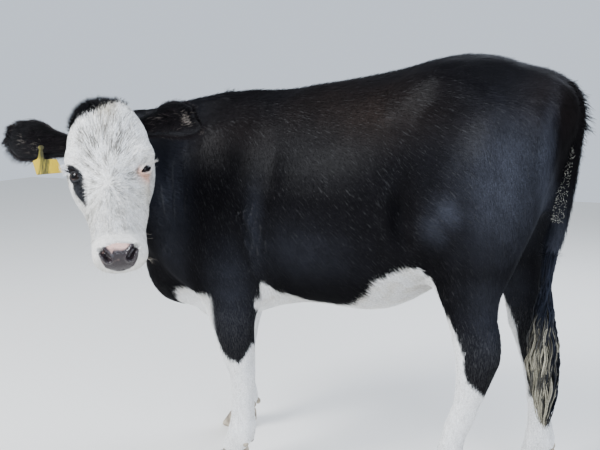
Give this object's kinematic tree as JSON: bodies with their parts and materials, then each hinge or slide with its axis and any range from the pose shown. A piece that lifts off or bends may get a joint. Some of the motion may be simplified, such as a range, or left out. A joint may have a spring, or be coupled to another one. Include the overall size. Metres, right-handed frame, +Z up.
{
  "type": "standing heifer",
  "caption": "Life-size standing model of a black and white young cow, head turned to its left, with a blank ear tag.",
  "frame": {"origin": "under the middle of the animal's bounding box, on the ground", "axes": "-X the way the trunk faces, -Y the animal's left side, +Z up"},
  "size_m": [1.3474, 0.9274, 1.2105],
  "materials": {
    "black_coat": "satin",
    "white_coat": "matte",
    "horn": "satin",
    "eye": "gloss",
    "tag": "satin",
    "switch": "matte"
  },
  "bodies": {
    "root": {"trunk": "black_coat", "neck": "black_coat", "head": "white_coat", "ear_left": "black_coat", "ear_right": "black_coat", "ear_tag": "tag", "eye_left": "eye", "eye_right": "eye", "fore_left_upper": "black_coat", "fore_left_lower": "white_coat", "fore_left_outer_claw": "horn", "fore_left_inner_claw": "horn", "fore_right_upper": "black_coat", "fore_right_lower": "white_coat", "fore_right_outer_claw": "horn", "fore_right_inner_claw": "horn", "hind_left_upper": "black_coat", "hind_left_lower": "white_coat", "hind_left_outer_claw": "horn", "hind_left_inner_claw": "horn", "hind_right_upper": "black_coat", "hind_right_lower": "white_coat", "hind_right_outer_claw": "horn", "hind_right_inner_claw": "horn", "tail": "black_coat", "tail_switch": "switch"}
  },
  "joints": []
}
